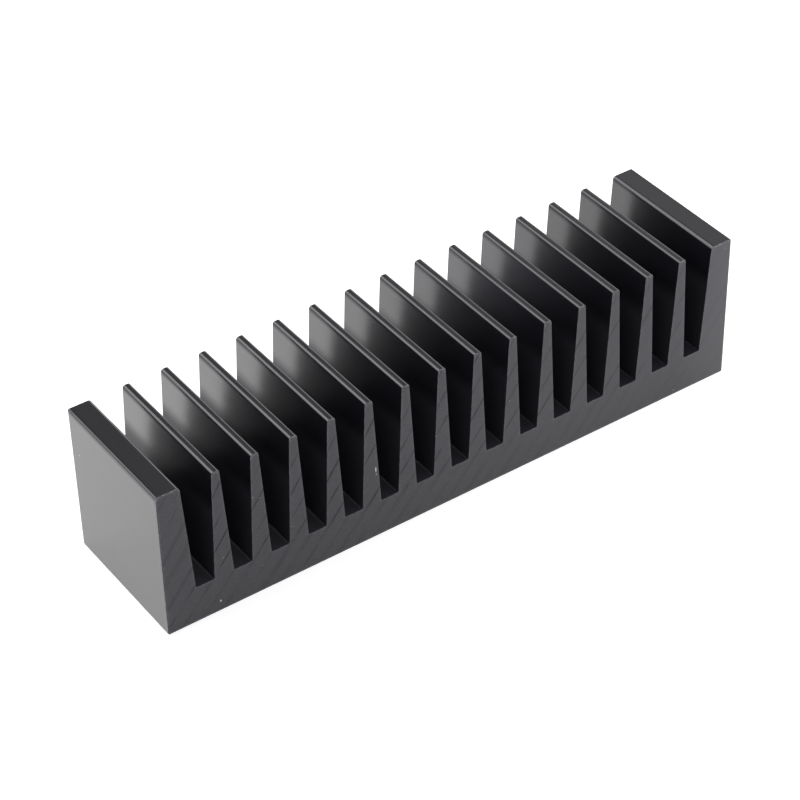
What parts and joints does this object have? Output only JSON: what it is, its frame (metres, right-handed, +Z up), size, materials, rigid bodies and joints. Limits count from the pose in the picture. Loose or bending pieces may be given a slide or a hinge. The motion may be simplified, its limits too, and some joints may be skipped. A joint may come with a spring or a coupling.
{
  "type": "heat sink",
  "caption": "Extruded black heat sink: a thick base plate with tall tapered fins between two heavier end walls, for cooling parts fixed to its flat underside.",
  "frame": {"origin": "on the underside, midway between the end walls and between the two sawn faces", "axes": "+X across the fins, +Y along the extrusion, +Z up from the base towards the fin tips"},
  "size_m": [0.16, 0.0376, 0.04],
  "materials": {
    "black_anodised": "satin black anodised, sawn ends"
  },
  "bodies": {
    "root": {"heat_sink": "black_anodised"}
  },
  "joints": []
}
